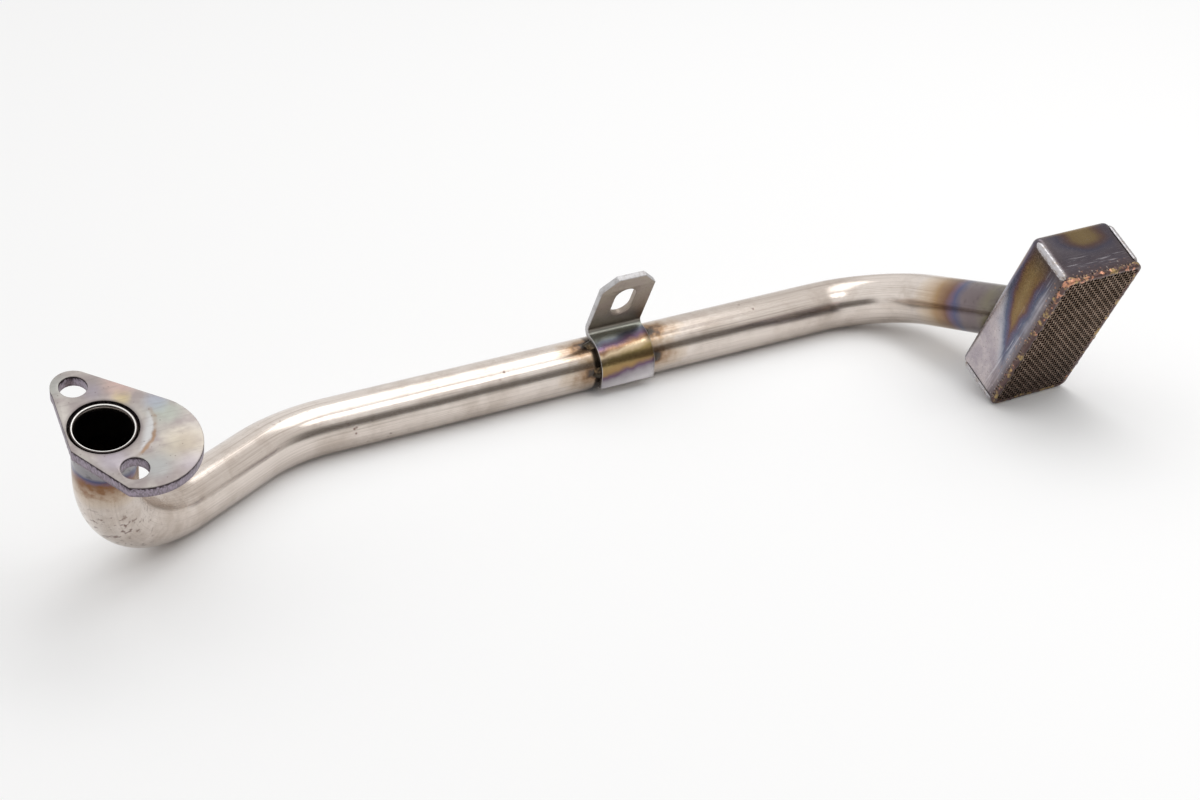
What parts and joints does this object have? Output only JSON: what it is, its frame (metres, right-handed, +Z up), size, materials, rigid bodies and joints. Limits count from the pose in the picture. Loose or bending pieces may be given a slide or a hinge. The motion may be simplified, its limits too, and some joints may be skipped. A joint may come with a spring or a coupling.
{
  "type": "oil pickup tube",
  "caption": "Welded steel oil pickup: a bent suction tube with a bolt-on pump flange, a slotted support strap and a box strainer closed by a wire screen.",
  "frame": {"origin": "middle of the bottom of the box round the part, on the floor on which it lies at rest", "axes": "+X along the long straight of the tube, from the pump flange to the strainer; +Z up from the floor; -Y towards the side to which the strainer faces"},
  "size_m": [0.4138, 0.1462, 0.083],
  "materials": {
    "tube_steel": "bare drawn steel with heat tints",
    "plate_steel": "sawn and sanded plate",
    "strap_steel": "bent strip, heat tinted",
    "box_steel": "folded sheet, heat tinted",
    "weld_metal": "weld bead, sooty",
    "screen_wire": "dark woven wire",
    "braze_metal": "copper coloured braze"
  },
  "bodies": {
    "root": {"pickup_tube": "tube_steel", "pump_flange": "plate_steel", "flange_weld": "weld_metal", "support_strap": "strap_steel", "strap_tacks": "weld_metal", "screen_box": "box_steel", "corner_welds": "weld_metal", "box_weld": "weld_metal", "wire_screen": "screen_wire", "screen_braze": "braze_metal"}
  },
  "joints": []
}
